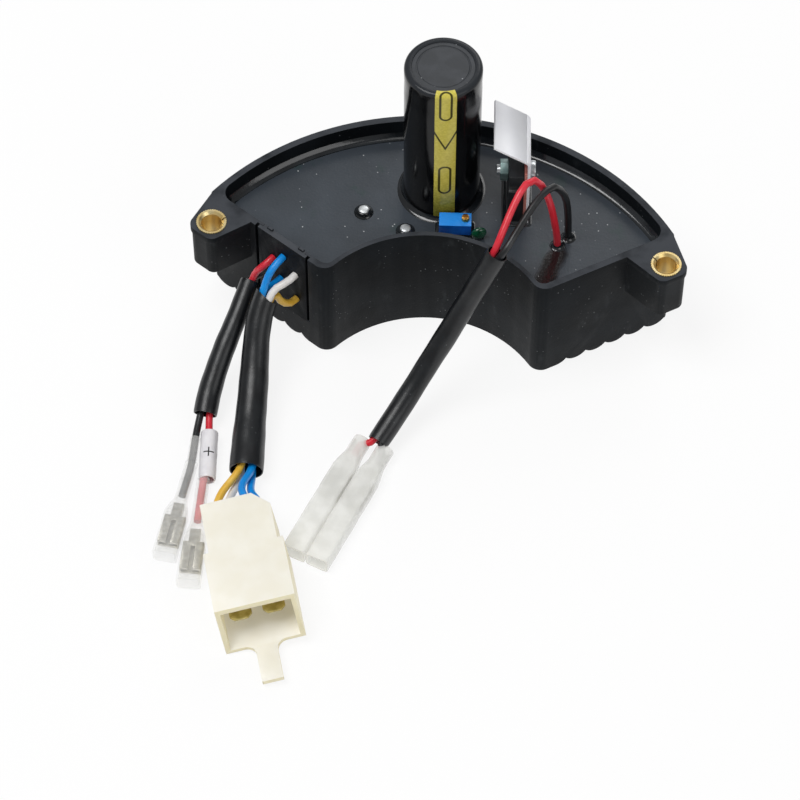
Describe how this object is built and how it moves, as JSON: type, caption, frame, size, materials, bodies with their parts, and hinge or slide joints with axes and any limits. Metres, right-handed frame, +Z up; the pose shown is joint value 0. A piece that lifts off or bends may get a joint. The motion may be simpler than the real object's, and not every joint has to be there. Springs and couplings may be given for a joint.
{
  "type": "generator voltage regulator module",
  "caption": "Half-moon potted voltage regulator and rectifier block with brass-bushed ears, standing capacitor, plate-cooled transistor, trimmer and a sleeved wiring harness.",
  "frame": {"origin": "centre of the module's box at table height, under its ribs; the harness is not counted", "axes": "+X from the wired end to the far end along the two mounting holes, +Y from the bay to the outer rim, +Z up out of the potted face"},
  "size_m": [0.142, 0.173, 0.0888],
  "materials": {
    "case_plastic": "matte black glass-filled thermoset with a fine moulded grain",
    "plate_plastic": "matte black moulded insert",
    "brass": "pale turned brass with a knurled collar",
    "potting": "dark charcoal potting resin, satin, with a smooth poured surface",
    "board": "green solder-masked laminate, potted",
    "can": "drawn aluminium can",
    "black_film": "glossy black shrink sleeve with one gold stripe",
    "disc_rubber": "dark grey insulating end disc",
    "tinned": "tinned copper",
    "epoxy": "moulded black epoxy",
    "pad": "dull pink insulating pad",
    "plate_metal": "mill-finish aluminium sheet",
    "screw_steel": "bright zinc-plated steel",
    "nut_zinc": "grey-green zinc-plated steel",
    "trimmer_blue": "semi-gloss blue thermoplastic",
    "brass_screw": "bright slotted brass",
    "dipped_green": "dark green dipped resin",
    "dome": "tinned round heads under a film of resin",
    "resistor": "pale cement body",
    "film_yellow": "yellow film wrap",
    "wire_red": "red wire insulation",
    "wire_black": "black wire insulation",
    "wire_blue": "blue wire insulation",
    "wire_white": "white wire insulation",
    "wire_yellow": "yellow wire insulation",
    "sleeve_black": "satin black flexible tubing",
    "marker_white": "white marker tube with a black plus sign",
    "clear_film": "milky clear soft plastic",
    "terminal_tin": "tin-plated brass strip",
    "plug_ivory": "ivory nylon",
    "blade_brass": "bare stamped brass"
  },
  "bodies": {
    "module": {"housing": "case_plastic", "wire_exit_plate": "plate_plastic", "bush_left": "brass", "bush_right": "brass", "potting_compound": "potting", "circuit_board": "board", "capacitor_can": "can", "capacitor_sleeve": "black_film", "capacitor_top_disc": "disc_rubber", "capacitor_pins": "tinned", "transistor_body": "epoxy", "transistor_leads": "tinned", "insulating_pad": "pad", "heat_sink_plate": "plate_metal", "clamp_screw": "screw_steel", "clamp_nut": "nut_zinc", "trimmer_body": "trimmer_blue", "trimmer_pins": "tinned", "ceramic_capacitor": "dipped_green", "dome_posts": "dome", "bridge_rectifier": "epoxy", "power_diodes": "epoxy", "control_chip": "epoxy", "power_resistors": "resistor", "film_capacitor": "film_yellow", "wire_output_red": "wire_red", "wire_output_black": "wire_black", "wire_red": "wire_red", "wire_black": "wire_black", "wire_blue": "wire_blue", "wire_blue_2": "wire_blue", "wire_white": "wire_white", "wire_yellow": "wire_yellow", "sleeve_output": "sleeve_black", "sleeve_thin": "sleeve_black", "sleeve_thick": "sleeve_black", "marker_sleeve": "marker_white", "neck_sleeve": "clear_film", "boot_black": "clear_film", "boot_red": "clear_film", "boot_output_red": "clear_film", "boot_output_black": "clear_film", "terminal_black": "terminal_tin", "terminal_red": "terminal_tin", "terminal_output_red": "terminal_tin", "terminal_output_black": "terminal_tin", "plug_housing": "plug_ivory", "plug_blade_left": "blade_brass", "plug_blade_right": "blade_brass"},
    "adjuster": {"trimmer_screw": "brass_screw"}
  },
  "joints": [
    {"name": "trimmer_turn", "type": "hinge", "parent": "module", "child": "adjuster", "pos_m": [0.00679, -0.00647, 0.0385], "axis": [0, 0, 1], "continuous": true}
  ]
}
